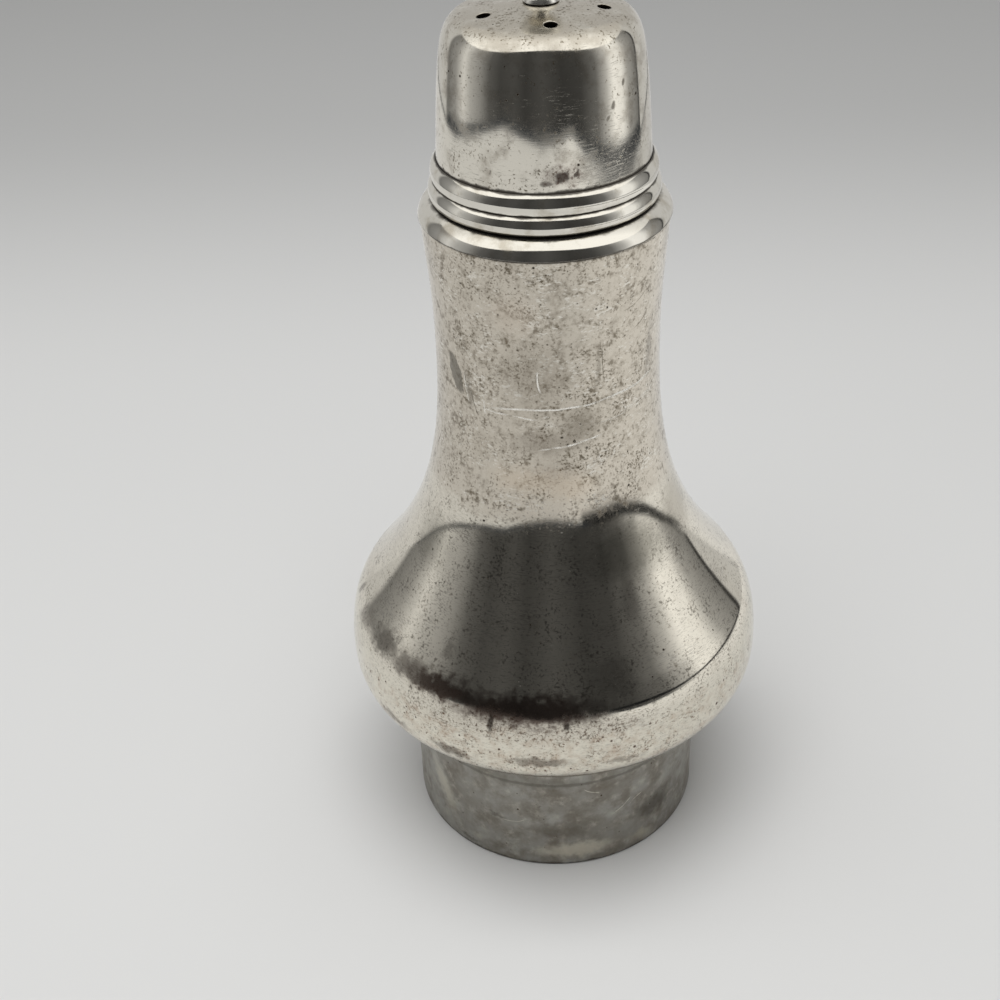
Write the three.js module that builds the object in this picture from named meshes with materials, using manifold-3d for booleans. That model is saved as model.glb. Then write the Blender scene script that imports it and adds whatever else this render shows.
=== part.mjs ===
// Silver-plated salt shaker of baluster form. A spun body stands on a soldered collet foot, and a
// drilled cap with two drawn wires round its base plugs into the neck by a sleeve and lifts off.
// Lengths are millimetres and +Z is up. The origin is the centre of the foot's base.
import * as THREE from "three";
import Module from "manifold-3d";
import { mergeVertices } from "three/addons/utils/BufferGeometryUtils.js";

const solids = await Module();
solids.setup();

// Fits shared by all pieces
const solderGap = 0.05;
const slideClearance = 0.1;
const restGap = 0.1;

// Collet foot
const footRadius = 16;
const footHeight = 15.5;
const footWall = 0.8;
const footRimWidth = 1.6;
const footRimHeight = 1.2;
const footEdgeRadius = 0.3;

// Spun body, from the foot up: belly, shoulder, waist and lip
const bodyWall = 0.7;
const baseDomeRise = 0.8;
const baseSeatWidth = 2;
const undersideAngle = THREE.MathUtils.degToRad(39);
const undersideHandle = 3.8;
const bellyRadius = 22.25;
const bellyRise = 6.9;
const bellyFullness = 0.66;
const shoulderRadius = 20.2;
const shoulderRise = 7.4;
const shoulderAngle = THREE.MathUtils.degToRad(49);
const shoulderFullness = 0.36;
const sweepFullness = 0.44;
const waistRadius = 11.05;
const waistRise = 29.8;
const waistFullness = 0.34;
const neckFullness = 0.4;
const lipFlare = 0.7;
const lipRise = 12.5;
const lipAngle = THREE.MathUtils.degToRad(3.7);

// Turned collar in the mouth
const collarOverhang = 0.2;
const collarRoundRadius = 2.07;
const collarRoundStart = 8;
const collarWall = 0.6;
const collarSkirtDepth = 5.5;
const collarSkirtGap = 0.38;
const collarLeadIn = 0.25;

// Cap, with its wires and sleeve
const capWall = 0.6;
const capWallRise = 9.3;
const capTaper = 0.73;
const capFootLean = THREE.MathUtils.degToRad(4);
const capShoulderLean = THREE.MathUtils.degToRad(7.6);
const capShoulderInset = 2.2;
const capShoulderHandle = 1.1;
const capCrownHandle = 2.45;
const capCrownRise = 4.33;
const capCrownRadius = 35.6;
const lowerWireHeight = 1.72;
const lowerWireDepth = 0.91;
const lowerWireRadius = 1.37;
const lowerWireStart = -26.7;
const upperWireHeight = 1.9;
const upperWireDepth = 0.62;
const upperWireRadius = 1.6;
const upperWireStart = -25.2;
const sleeveWall = 0.5;
const sleeveReach = 7.3;
const sleeveStop = 0.4;
const sleeveLeadIn = 0.3;

// Sprinkling holes
const holeCount = 5;
const holeDiameter = 1.25;
const holeCircleRadius = 5.5;
const holeTurn = THREE.MathUtils.degToRad(8.1);

// Cast finial
const pegRadius = 0.75;
const pegClearance = 0.05;
const pegHeadRadius = 1.2;
const pegHeadHeight = 0.35;
const finialBaseRadius = 1.62;
const finialBaseRound = 1.45;
const finialBaseStart = 12;
const finialNeckRadius = 0.8;
const finialNeckHeight = 0.7;
const finialBallRadius = 2.2;

// Facets round each turned piece
const facets = 48;
const finialFacets = 24;
const holeFacets = 16;

// Heights above the table that the driving sizes give
const bellyHeight = footHeight + bellyRise;
const shoulderHeight = bellyHeight + shoulderRise;
const waistHeight = shoulderHeight + waistRise;
const lipHeight = waistHeight + lipRise;
const collarRoundDrop = collarRoundRadius * Math.sin(THREE.MathUtils.degToRad(collarRoundStart));
const collarTop = lipHeight + solderGap + collarRoundRadius - collarRoundDrop;
const capBottom = collarTop + restGap;
const wireSeam = capBottom + lowerWireHeight;
const capWallFoot = wireSeam + upperWireHeight;
const capShoulderHeight = capWallFoot + capWallRise;
const crownTop = capShoulderHeight + capCrownRise;

// Radii that fit inside one another, from the neck's waist inwards and out again to the cap
const lipRadius = waistRadius + lipFlare;
const skirtRadius = waistRadius - bodyWall - collarSkirtGap;
const collarBore = skirtRadius - collarWall;
const sleeveRadius = collarBore - slideClearance;
const capBore = sleeveRadius + solderGap;
const capRadius = capBore + capWall;
const capShoulderRadius = capRadius - capTaper;
const crownEdgeRadius = capShoulderRadius - capShoulderInset;

const plate = (color, roughness) => new THREE.MeshStandardMaterial({ color, roughness, metalness: 1 });
const polishedPlate = plate(0xc9c7bd, 0.16);
const wornPlate = plate(0xc4c1b4, 0.24);
const dullPlate = plate(0x9a978d, 0.38);

const at = (radius, height) => new THREE.Vector2(radius, height);

// Points along the curves of one outline, each with its own number of steps
function outline(...stretches) {
  const points = [];
  for (const [curve, steps] of stretches) {
    for (const point of curve.getPoints(steps)) {
      const last = points[points.length - 1];
      if (!last || last.distanceTo(point) > 1e-4) points.push(point);
    }
  }
  return points;
}

const line = (from, to) => [new THREE.LineCurve(from, to), 1];

function ellipseArc(centre, radiusAcross, radiusUp, fromDegrees, toDegrees, steps) {
  const from = THREE.MathUtils.degToRad(fromDegrees);
  const to = THREE.MathUtils.degToRad(toDegrees);
  const curve = new THREE.EllipseCurve(centre.x, centre.y, radiusAcross, radiusUp, from, to, to < from);
  return [curve, steps];
}

// A smooth stretch that leaves one point along one direction and reaches the other along the next
function sweepCurve(from, leaving, leavingHandle, to, reaching, reachingHandle, steps) {
  const first = from.clone().addScaledVector(leaving, leavingHandle);
  const second = to.clone().addScaledVector(reaching, -reachingHandle);
  return [new THREE.CubicBezierCurve(from, first, second, to), steps];
}

// The same outline moved inwards by a wall, for sheet of even thickness
function insideOf(points, wall) {
  const inward = (from, to) => at(from.y - to.y, to.x - from.x).normalize();
  return points.map((point, index) => {
    const before = inward(points[Math.max(index - 1, 0)], points[Math.max(index, 1)]);
    const lastStart = Math.min(index, points.length - 2);
    const after = inward(points[lastStart], points[lastStart + 1]);
    const mitre = before.clone().add(after).normalize();
    return point.clone().addScaledVector(mitre, wall / mitre.dot(before));
  });
}

// A turned solid from a profile that starts and ends on the axis, or that closes on itself
function turned(profile, sides = facets) {
  const first = profile[0];
  const last = profile[profile.length - 1];
  const onAxis = first.x === 0 && last.x === 0;
  const points = onAxis ? profile : [...profile, first.clone()];
  return new THREE.LatheGeometry(points, sides).rotateX(Math.PI / 2);
}

function piece(name, geometry, material) {
  const mesh = new THREE.Mesh(geometry, material);
  mesh.name = name;
  return mesh;
}

function toSolid(geometry) {
  const bare = geometry.clone();
  bare.deleteAttribute("normal");
  bare.deleteAttribute("uv");
  const merged = mergeVertices(bare, 1e-4);
  const vertProperties = new Float32Array(merged.attributes.position.array);
  const triVerts = new Uint32Array(merged.index.array);
  return new solids.Manifold(new solids.Mesh({ numProp: 3, vertProperties, triVerts }));
}

function toGeometry(solid) {
  const mesh = solid.getMesh();
  const geometry = new THREE.BufferGeometry();
  geometry.setAttribute("position", new THREE.BufferAttribute(new Float32Array(mesh.vertProperties), 3));
  geometry.setIndex(new THREE.BufferAttribute(new Uint32Array(mesh.triVerts), 1));
  geometry.computeVertexNormals();
  return geometry;
}

// A short tube with a thickened rim turned inwards, so that it stands on a wider flat
function footRing() {
  const top = footHeight - solderGap;
  const inside = footRadius - footWall;
  const rimInside = footRadius - footRimWidth;
  const edgeCentre = at(footRadius - footEdgeRadius, footEdgeRadius);
  return turned([
    at(rimInside, 0),
    ...outline(ellipseArc(edgeCentre, footEdgeRadius, footEdgeRadius, -90, 0, 3)),
    at(footRadius, top),
    at(inside, top),
    at(inside, footRimHeight + footRimWidth - footWall),
    at(rimInside, footRimHeight),
  ]);
}

// The spun sheet: a shallow domed base, the belly, the long ogee to the waist, and the flared lip
function bodyShell() {
  const up = at(0, 1);
  const out = at(Math.cos(undersideAngle), Math.sin(undersideAngle));
  const alongShoulder = at(-Math.cos(shoulderAngle), Math.sin(shoulderAngle));
  const alongLip = at(Math.sin(lipAngle), Math.cos(lipAngle));
  const domeEdge = at(footRadius - footWall - baseSeatWidth, footHeight);
  const domeTop = at(0, footHeight + baseDomeRise);
  const corner = at(footRadius, footHeight);
  const belly = at(bellyRadius, bellyHeight);
  const shoulder = at(shoulderRadius, shoulderHeight);
  const waist = at(waistRadius, waistHeight);
  const lip = at(lipRadius, lipHeight);
  const shoulderHandle = shoulderRise * shoulderFullness;
  const outside = outline(
    [new THREE.QuadraticBezierCurve(domeTop, at(domeEdge.x / 2, domeTop.y), domeEdge), 4],
    line(domeEdge, corner),
    sweepCurve(corner, out, undersideHandle, belly, up, bellyRise * bellyFullness, 7),
    sweepCurve(belly, up, shoulderHandle, shoulder, alongShoulder, shoulderHandle, 6),
    sweepCurve(shoulder, alongShoulder, waistRise * sweepFullness, waist, up, waistRise * waistFullness, 8),
    sweepCurve(waist, up, lipRise * neckFullness, lip, alongLip, lipRise * neckFullness, 4),
  );
  const inside = insideOf(outside, bodyWall);
  inside[0].x = 0;
  inside[inside.length - 1].set(lipRadius - bodyWall, lipHeight);
  return turned([...outside, ...inside.reverse()]);
}

// The round seen above the neck, seated on the lip, with a bored skirt down inside it
function neckCollar() {
  const ledge = lipHeight + solderGap;
  const skirtBottom = lipHeight - collarSkirtDepth;
  const reach = collarRoundRadius * Math.cos(THREE.MathUtils.degToRad(collarRoundStart));
  const roundCentre = at(lipRadius + collarOverhang - reach, collarTop - collarRoundRadius);
  return turned([
    at(collarBore, skirtBottom),
    at(skirtRadius, skirtBottom),
    at(skirtRadius, ledge),
    at(lipRadius, ledge),
    ...outline(ellipseArc(roundCentre, collarRoundRadius, collarRoundRadius, collarRoundStart, 90, 6)),
    at(collarBore + collarLeadIn, collarTop),
    at(collarBore, collarTop - collarLeadIn),
  ]);
}

// The drawn cap: a straight base inside the wires, a tapered wall, a round shoulder and a low crown
function capShell() {
  const crownCentre = at(0, crownTop - capCrownRadius);
  const tilt = Math.asin(crownEdgeRadius / capCrownRadius);
  const crownEdge = crownCentre.clone().add(at(Math.sin(tilt), Math.cos(tilt)).multiplyScalar(capCrownRadius));
  const pegHole = pegRadius + pegClearance;
  const pegTilt = Math.asin(pegHole / capCrownRadius);
  const base = at(capRadius, capBottom);
  const wallFoot = at(capRadius, capWallFoot);
  const shoulder = at(capShoulderRadius, capShoulderHeight);
  const alongFoot = at(-Math.sin(capFootLean), Math.cos(capFootLean));
  const alongShoulder = at(-Math.sin(capShoulderLean), Math.cos(capShoulderLean));
  const alongCrown = at(-Math.cos(tilt), Math.sin(tilt));
  const wallHandle = capWallRise / 3;
  const outside = outline(
    line(base, wallFoot),
    sweepCurve(wallFoot, alongFoot, wallHandle, shoulder, alongShoulder, wallHandle, 3),
    sweepCurve(shoulder, alongShoulder, capShoulderHandle, crownEdge, alongCrown, capCrownHandle, 7),
    [new THREE.EllipseCurve(0, crownCentre.y, capCrownRadius, capCrownRadius,
      Math.PI / 2 - tilt, Math.PI / 2 - pegTilt, false), 4],
  );
  const inside = insideOf(outside, capWall);
  inside[0].set(capBore, capBottom);
  inside[inside.length - 1].x = pegHole;
  const shell = toSolid(turned([...outside, ...inside.reverse()]));
  return toGeometry(shell.subtract(sprinklingHoles()));
}

// Cutters for the holes, evenly round their circle and square to the table
function sprinklingHoles() {
  const depth = capCrownRise * 2;
  const drills = [];
  for (let index = 0; index < holeCount; index += 1) {
    const angle = holeTurn + (index * 2 * Math.PI) / holeCount;
    const drill = new THREE.CylinderGeometry(holeDiameter / 2, holeDiameter / 2, depth, holeFacets);
    drill.rotateX(Math.PI / 2);
    drill.translate(holeCircleRadius * Math.sin(angle), -holeCircleRadius * Math.cos(angle), crownTop);
    drills.push(toSolid(drill));
  }
  return solids.Manifold.union(drills);
}

// A wire soldered round the cap's base, drawn to a round that stands out most below its middle
function capWire(bottom, height, depth, radius, startDegrees) {
  const inside = capRadius + solderGap;
  const drop = radius * Math.sin(THREE.MathUtils.degToRad(startDegrees));
  const centre = at(capRadius + depth - radius, bottom - drop);
  const endDegrees = THREE.MathUtils.radToDeg(Math.asin((height + drop) / radius));
  return turned([
    at(inside, bottom),
    ...outline(ellipseArc(centre, radius, radius, startDegrees, endDegrees, 8)),
    at(inside, bottom + height),
  ]);
}

// The tube that plugs into the collar, with its lower edge eased so that it finds the bore
function capSleeve() {
  const bore = sleeveRadius - sleeveWall;
  const bottom = collarTop - sleeveReach;
  const top = capWallFoot - sleeveStop;
  return turned([
    at(bore, bottom),
    at(sleeveRadius - sleeveLeadIn, bottom),
    at(sleeveRadius, bottom + sleeveLeadIn),
    at(sleeveRadius, top),
    at(bore, top),
  ]);
}

// A ball on a domed base, with a peg through the crown that is peened over inside
function finial() {
  const base = crownTop + solderGap;
  const headTop = crownTop - capWall - solderGap;
  const baseStart = THREE.MathUtils.degToRad(finialBaseStart);
  const baseCentre = at(finialBaseRadius - finialBaseRound * Math.cos(baseStart),
    base - finialBaseRound * Math.sin(baseStart));
  const baseEnd = Math.acos((finialNeckRadius - baseCentre.x) / finialBaseRound);
  const neckTop = baseCentre.y + finialBaseRound * Math.sin(baseEnd) + finialNeckHeight;
  const ballTilt = Math.asin(finialNeckRadius / finialBallRadius);
  const ballCentre = at(0, neckTop + finialBallRadius * Math.cos(ballTilt));
  const ballStart = THREE.MathUtils.radToDeg(ballTilt) - 90;
  const baseArc = ellipseArc(baseCentre, finialBaseRound, finialBaseRound, finialBaseStart,
    THREE.MathUtils.radToDeg(baseEnd), 5);
  const outside = outline(
    baseArc,
    ellipseArc(ballCentre, finialBallRadius, finialBallRadius, ballStart, 90, 9),
  );
  outside[outside.length - 1].x = 0;
  return turned([
    at(0, headTop - pegHeadHeight),
    at(pegHeadRadius, headTop - pegHeadHeight),
    at(pegHeadRadius, headTop),
    at(pegRadius, headTop),
    at(pegRadius, base),
    ...outside,
  ], finialFacets);
}

const bodyGroup = new THREE.Group();
bodyGroup.add(
  piece("foot_ring", footRing(), dullPlate),
  piece("body_shell", bodyShell(), wornPlate),
  piece("neck_collar", neckCollar(), polishedPlate),
);

const lowerWire = capWire(capBottom, lowerWireHeight - solderGap, lowerWireDepth, lowerWireRadius,
  lowerWireStart);
const upperWire = capWire(wireSeam, upperWireHeight, upperWireDepth, upperWireRadius, upperWireStart);

const capGroup = new THREE.Group();
capGroup.add(
  piece("cap_shell", capShell(), wornPlate),
  piece("cap_lower_wire", lowerWire, polishedPlate),
  piece("cap_upper_wire", upperWire, polishedPlate),
  piece("cap_sleeve", capSleeve(), polishedPlate),
  piece("finial", finial(), polishedPlate),
);

const saltShaker = new THREE.Group();
saltShaker.add(bodyGroup, capGroup);

export default saltShaker;
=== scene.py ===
"""The looks of a silver-plated salt shaker: a spun baluster body on a collet foot, and a drilled cap.

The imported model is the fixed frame. Each piece is turned again round the same axis as a smooth shape
with eased edges, sized from the frame's boxes, and dressed in worn silver plate. Sizes are millimetres
and angles are degrees until they reach a mesh, a lamp or a texture, where MM and radians() turn them.
"""

import logging
from collections.abc import Mapping, Sequence
from dataclasses import dataclass
from enum import Enum
from math import acos, asin, atan2, cos, degrees, pi, radians, sin, tan

import bmesh
import bpy
import numpy as np
from mathutils import Matrix, Vector


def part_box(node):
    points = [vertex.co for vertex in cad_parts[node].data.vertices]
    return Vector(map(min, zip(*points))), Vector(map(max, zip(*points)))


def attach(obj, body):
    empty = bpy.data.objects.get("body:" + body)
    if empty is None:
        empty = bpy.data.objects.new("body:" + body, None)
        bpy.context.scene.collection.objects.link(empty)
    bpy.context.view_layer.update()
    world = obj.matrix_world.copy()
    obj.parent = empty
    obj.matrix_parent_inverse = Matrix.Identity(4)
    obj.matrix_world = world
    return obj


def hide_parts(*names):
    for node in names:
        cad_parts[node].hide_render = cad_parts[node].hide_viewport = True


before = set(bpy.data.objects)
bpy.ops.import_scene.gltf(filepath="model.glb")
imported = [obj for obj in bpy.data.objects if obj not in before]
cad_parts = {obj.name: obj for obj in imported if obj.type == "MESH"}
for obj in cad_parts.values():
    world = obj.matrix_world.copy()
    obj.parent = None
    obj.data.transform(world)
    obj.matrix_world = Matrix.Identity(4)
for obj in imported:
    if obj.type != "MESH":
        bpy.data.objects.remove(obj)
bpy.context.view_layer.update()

MM = 0.001
SIDES = 256
SHARP_EDGE = radians(32)
ROUND_LIMIT = 30
# The white of the neck's scratches: a painted glint, where the scratches catch the light
SCRATCH_GLINT_WHITE = "#fbf8f0"

log = logging.getLogger("salt_shaker")

Profile = np.ndarray
Feed = float | tuple | bpy.types.NodeSocket | bpy.types.Node
# A seam's height, reach and strength, and its colour where it isn't the usual one
Seam = tuple[float, float, float] | tuple[float, float, float, str]


class Body(Enum):
    """The moving bodies of the frame."""

    BODY = "body"
    CAP = "cap"


class Slot(Enum):
    """The record's material slots."""

    FOOT = "plate_foot"
    BODY = "plate_body"
    TRIM = "plate_trim"
    CAP = "plate_cap"
    INSIDE = "plate_inside"
    FINIAL = "plate_finial"


def linear(code: str) -> tuple[float, float, float, float]:
    """Turns an sRGB hex colour into linear light.

    Args:
        code: The colour as "#rrggbb".

    Returns:
        The linear red, green, blue and an alpha of 1.
    """
    shares = [int(code[index:index + 2], 16) / 255 for index in (1, 3, 5)]
    red, green, blue = (s / 12.92 if s <= 0.04045 else ((s + 0.055) / 1.055) ** 2.4 for s in shares)
    return red, green, blue, 1.0


def add(tree: bpy.types.NodeTree, kind: str, feeds: Mapping[int | str, Feed] | None = None,
        **settings: object) -> bpy.types.Node:
    """Adds one node, sets its properties and fills its inputs.

    Args:
        tree: The node tree that takes the node.
        kind: The node's type, without the word ShaderNode in front.
        feeds: A value, a node's output or a node for each input, by name or number. A node stands for
            its first output.
        settings: The node's own properties.

    Returns:
        The new node.
    """
    made = tree.nodes.new("ShaderNode" + kind)
    for name, value in settings.items():
        setattr(made, name, value)
    for key, value in (feeds or {}).items():
        source = value.outputs[0] if isinstance(value, bpy.types.Node) else value
        if isinstance(source, bpy.types.NodeSocket):
            tree.links.new(source, made.inputs[key])
        else:
            made.inputs[key].default_value = source
    return made


# Outlines, as rows of (radius, height) in millimetres


def bezier(start: Sequence[float], first: Sequence[float], second: Sequence[float],
           end: Sequence[float], steps: int) -> Profile:
    """Samples a cubic curve.

    Args:
        start: Where the curve starts.
        first: The handle that it leaves along.
        second: The handle that it arrives along.
        end: Where the curve ends.
        steps: The number of equal steps along it.

    Returns:
        The points, with both ends.
    """
    share = np.linspace(0, 1, steps + 1)[:, None]
    rest = 1 - share
    corners = [np.array(point, float) for point in (start, first, second, end)]
    return (rest ** 3 * corners[0] + 3 * rest ** 2 * share * corners[1]
            + 3 * rest * share ** 2 * corners[2] + share ** 3 * corners[3])


def arc(centre: Sequence[float], across: float, up: float, begin: float, finish: float,
        steps: int) -> Profile:
    """Samples a stretch of an upright ellipse.

    Args:
        centre: The centre of the ellipse.
        across: Its half width.
        up: Its half height.
        begin: The angle it starts at, from the outward direction, in degrees.
        finish: The angle it ends at.
        steps: The number of equal steps along it.

    Returns:
        The points, with both ends.
    """
    turn = np.radians(np.linspace(begin, finish, steps + 1))
    return np.stack([centre[0] + across * np.cos(turn), centre[1] + up * np.sin(turn)], 1)


def joined(*stretches: Sequence) -> Profile:
    """Strings stretches of outline together and drops points that repeat.

    Args:
        stretches: Rows of points, or single points.

    Returns:
        The whole outline.
    """
    points = np.vstack([np.atleast_2d(np.array(stretch, float)) for stretch in stretches])
    apart = np.linalg.norm(np.diff(points, axis=0), axis=1) > 1e-4
    return points[np.concatenate([[True], apart])]


def inside_of(points: Profile, wall: float) -> Profile:
    """Moves an outline inwards by a wall, for sheet of even thickness.

    Args:
        points: The outside, from the bottom of the piece upwards.
        wall: The thickness of the sheet.

    Returns:
        The inside, point for point.
    """
    along = np.diff(points, axis=0)
    inward = np.stack([-along[:, 1], along[:, 0]], 1)
    inward /= np.linalg.norm(inward, axis=1)[:, None]
    before = np.vstack([inward[:1], inward])
    after = np.vstack([inward, inward[-1:]])
    mitre = before + after
    mitre /= np.linalg.norm(mitre, axis=1)[:, None]
    return points + mitre * (wall / np.sum(mitre * before, axis=1))[:, None]


def eased(points: Profile, radius: float, limit: float = 24.0, steps: int = 4) -> Profile:
    """Rounds the sharp corners of a closed outline, as a burnisher leaves them.

    Args:
        points: The closed outline, without its first point repeated.
        radius: How far from each corner the rounding starts.
        limit: The turn in degrees above which a corner counts as sharp.
        steps: The number of steps round each corner.

    Returns:
        The outline with its corners rounded. A corner on the axis stays.
    """
    made = []
    count = len(points)
    for index in range(count):
        here = points[index]
        back = points[index - 1] - here
        ahead = points[(index + 1) % count] - here
        room = min(np.linalg.norm(back), np.linalg.norm(ahead))
        turn = degrees(abs(atan2(back[0] * -ahead[1] + back[1] * ahead[0], -back @ ahead)))
        if turn < limit or here[0] < 1e-6:
            made.append(here[None])
            continue
        reach = min(radius, 0.45 * room)
        first = here + back / np.linalg.norm(back) * reach
        last = here + ahead / np.linalg.norm(ahead) * reach
        share = np.linspace(0, 1, steps + 1)[:, None]
        made.append((1 - share) ** 2 * first + 2 * (1 - share) * share * here + share ** 2 * last)
    return np.vstack(made)


def turned(name: str, points: Profile, sides: int = SIDES) -> bpy.types.Object:
    """Turns a closed outline round the upright axis into a smooth solid.

    Args:
        name: The piece's name.
        points: The closed outline. Points on the axis become poles.
        sides: The number of faces round the axis.

    Returns:
        The new object, with its place in its mesh.
    """
    mesh = bmesh.new()
    rings: list[list[bmesh.types.BMVert]] = []
    for radius, height in points:
        if radius < 1e-6:
            rings.append([mesh.verts.new((0, 0, height * MM))])
            continue
        turns = (2 * pi * step / sides for step in range(sides))
        rings.append([mesh.verts.new((radius * MM * sin(t), -radius * MM * cos(t), height * MM))
                      for t in turns])
    for index, ring in enumerate(rings):
        after = rings[(index + 1) % len(rings)]
        if len(ring) == 1 and len(after) == 1:
            continue
        for step in range(sides):
            corners = [ring[step % len(ring)], ring[(step + 1) % len(ring)],
                       after[(step + 1) % len(after)], after[step % len(after)]]
            mesh.faces.new(dict.fromkeys(corners))
    bmesh.ops.recalc_face_normals(mesh, faces=mesh.faces)
    return meshed(name, mesh)


def meshed(name: str, mesh: bmesh.types.BMesh) -> bpy.types.Object:
    """Puts a mesh into the scene, smooth but for its sharp edges, and frees it.

    Args:
        name: The name of the object and of its data.
        mesh: The mesh.

    Returns:
        The new object.
    """
    data = bpy.data.meshes.new(name)
    mesh.to_mesh(data)
    mesh.free()
    data.shade_smooth()
    data.set_sharp_from_angle(angle=SHARP_EDGE)
    made = bpy.data.objects.new(name, data)
    bpy.context.scene.collection.objects.link(made)
    return made


# Finishes


@dataclass(frozen=True)
class Mark:
    """A stain or a scratch, placed where it lies on the metal.

    The angle runs round from the front towards the camera's right, in degrees, and the radius is that of
    the metal there. Lengths are millimetres, and the lean turns the mark on the surface, in degrees.
    """

    angle: float
    height: float
    radius: float
    wide: float
    tall: float
    lean: float = 0.0
    bend: float = 0.0
    code: str = "#2e2018"
    sheen: float = 0.5
    strength: float = 1.0
    ragged: float = 0.5
    metallic: float = 1.0


class Coat:
    """One finish in the making: films of wear and tarnish, laid one over another on the metal."""

    def __init__(self, name: str, metal: str, sheen: float) -> None:
        """Starts from clean metal.

        Args:
            name: The material's name.
            metal: The clean metal's colour as an sRGB hex value.
            sheen: The clean metal's roughness.
        """
        self.made = bpy.data.materials.new(name)
        self.made.use_nodes = True
        self.tree = self.made.node_tree
        self.tree.nodes.clear()
        tree = self.tree
        self.place = add(tree, "TexCoord").outputs["Object"]
        split = add(tree, "SeparateXYZ", {"Vector": self.place})
        self.height = add(tree, "Math", {0: split.outputs["Z"], 1: 1 / MM}, operation="MULTIPLY")
        ahead = add(tree, "Math", {0: split.outputs["Y"], 1: -1.0}, operation="MULTIPLY")
        turn = add(tree, "Math", {0: split.outputs["X"], 1: ahead}, operation="ARCTAN2")
        self.angle = add(tree, "Math", {0: turn, 1: 180 / pi}, operation="MULTIPLY")
        self.tone: Feed = linear(metal)
        self.rough: Feed = sheen
        self.metallic: Feed = 1.0
        self.relief: list[tuple[Feed, float]] = []

    def cloud(self, size: float, detail: float = 3.0, stretch: Sequence[float] = (1, 1, 1)) -> Feed:
        """Gives soft random mottling.

        Args:
            size: The size of a blot in millimetres.
            detail: How many finer layers it has.
            stretch: How much finer it is along each axis.

        Returns:
            A value round 0.5.
        """
        place = add(self.tree, "VectorMath", {0: self.place, 1: tuple(stretch)}, operation="MULTIPLY")
        return add(self.tree, "TexNoise", {"Vector": place, "Scale": 1 / (size * MM),
                                           "Detail": detail, "Roughness": 0.6}).outputs["Fac"]

    def patchy(self, share: Feed, size: float, swing: float) -> Feed:
        """Makes a share larger in some patches than in others.

        Args:
            share: The share on the whole.
            size: The size of a patch in millimetres.
            swing: How far it swings.

        Returns:
            The patchy share.
        """
        patch = add(self.tree, "Math", {0: self.cloud(size, 4.0), 1: 0.5}, operation="SUBTRACT")
        swung = add(self.tree, "Math", {0: patch, 1: swing}, operation="MULTIPLY")
        return add(self.tree, "Math", {0: swung, 1: share})

    def rising(self, low: float, high: float, begin: float, finish: float, smooth: bool = True) -> Feed:
        """Gives a number that changes between two heights.

        Args:
            low: The height in millimetres where it starts to change.
            high: The height where it stops.
            begin: The number up to the first height.
            finish: The number from the second height on.
            smooth: Whether it eases in and out.

        Returns:
            The number.
        """
        return add(self.tree, "MapRange", {"Value": self.height, "From Min": low, "From Max": high,
                                           "To Min": begin, "To Max": finish},
                   interpolation_type="SMOOTHSTEP" if smooth else "LINEAR")

    def strayed(self, size: float, reach: float) -> Feed:
        """Gives the place shifted at random, so that what is drawn there has ragged edges.

        Args:
            size: The size of a shift's blot in millimetres.
            reach: The furthest shift in millimetres.

        Returns:
            The shifted place.
        """
        noise = add(self.tree, "TexNoise", {"Vector": self.place, "Scale": 1 / (size * MM), "Detail": 3.0})
        middle = add(self.tree, "VectorMath", {0: noise.outputs["Color"], 1: (0.5, 0.5, 0.5)},
                     operation="SUBTRACT")
        shift = add(self.tree, "VectorMath", {0: middle, "Scale": 4 * reach * MM}, operation="SCALE")
        return add(self.tree, "VectorMath", {0: self.place, 1: shift})

    def film(self, code: str, sheen: float, *masks: Feed, metallic: float = 1.0) -> None:
        """Lays one film over the finish.

        Args:
            code: Its colour as an sRGB hex value.
            sheen: Its roughness.
            masks: Where it lies, each from 0 to 1. It lies as far as all of them let it.
            metallic: How metallic it is. Chalky films, such as the white that stands for a scratch's glint,
                are hardly so.
        """
        mask, *others = masks
        for other in others:
            mask = add(self.tree, "Math", {0: mask, 1: other}, operation="MULTIPLY")
        # Numbers 6 and 7 are the node's colours, as its names A and B mean its plain values
        tones = add(self.tree, "Mix", {0: mask, 6: self.tone, 7: linear(code)}, data_type="RGBA")
        self.tone = tones.outputs[2]
        self.rough = add(self.tree, "Mix", {0: mask, 2: self.rough, 3: sheen})
        if metallic < 1.0:
            self.metallic = add(self.tree, "Mix", {0: mask, 2: self.metallic, 3: metallic})

    def haze(self, size: float, share: Feed, code: str, sheen: float, soft: float = 0.12,
             stretch: Sequence[float] = (1, 1, 1)) -> None:
        """Lays a clouded film of handling, thicker in some places than in others.

        Args:
            size: The size of its clouds in millimetres.
            share: How much of the metal it covers, from 0 to 1.
            code: Its colour.
            sheen: Its roughness.
            soft: How softly its clouds end.
            stretch: How much finer it is along each axis.
        """
        cloud = self.cloud(size, 6.0, stretch)
        level = add(self.tree, "Math", {0: cloud, 1: share})
        mask = add(self.tree, "MapRange", {"Value": level, "From Min": 1.0 - soft,
                                           "From Max": 1.0 + soft}, interpolation_type="SMOOTHSTEP")
        self.film(code, sheen, mask)

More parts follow.
